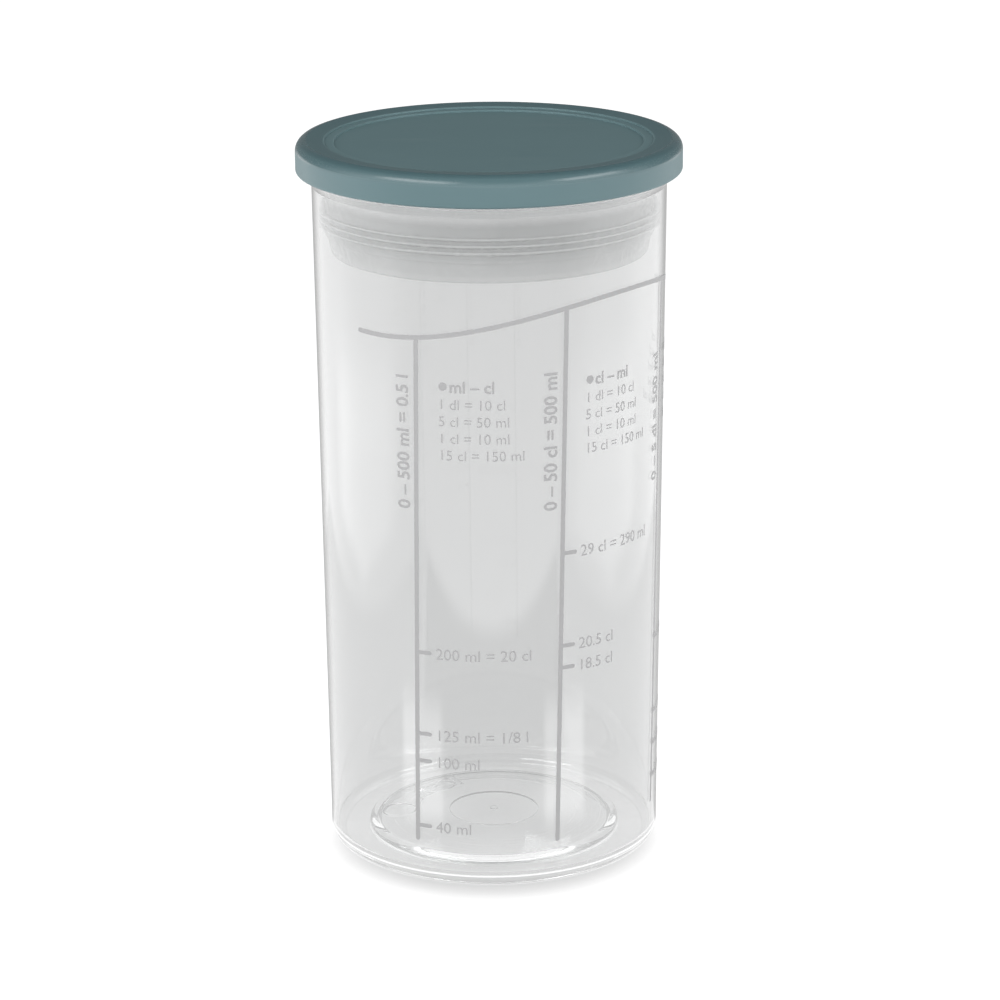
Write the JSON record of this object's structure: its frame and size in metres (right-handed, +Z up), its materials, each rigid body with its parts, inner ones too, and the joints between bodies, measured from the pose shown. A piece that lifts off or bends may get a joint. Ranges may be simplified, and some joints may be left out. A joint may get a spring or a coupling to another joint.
{
  "type": "shaker bottle",
  "caption": "Clear cylindrical shaker beaker with a flared collar, closed by a round cap over a translucent stopper with sealing lamellae.",
  "frame": {"origin": "centre of the standing ring, on the plane that the beaker stands on", "axes": "+Z up along the beaker's axis, -Y towards the viewer of the picture, +X to that viewer's right"},
  "size_m": [0.0832, 0.0832, 0.1587],
  "materials": {
    "clear_plastic": "polished clear moulded plastic",
    "milky_plastic": "soft translucent milky plastic, satin",
    "cap_plastic": "satin blue-green moulded plastic with a fine grain",
    "print_ink": "grey screen-print ink"
  },
  "bodies": {
    "bottle": {"beaker": "clear_plastic"},
    "lid": {"stopper": "milky_plastic", "cap": "cap_plastic"}
  },
  "joints": [
    {"name": "lid_lift", "type": "slide", "parent": "bottle", "child": "lid", "axis": [0, 0, 1], "range_m": [0, 0.04]}
  ]
}
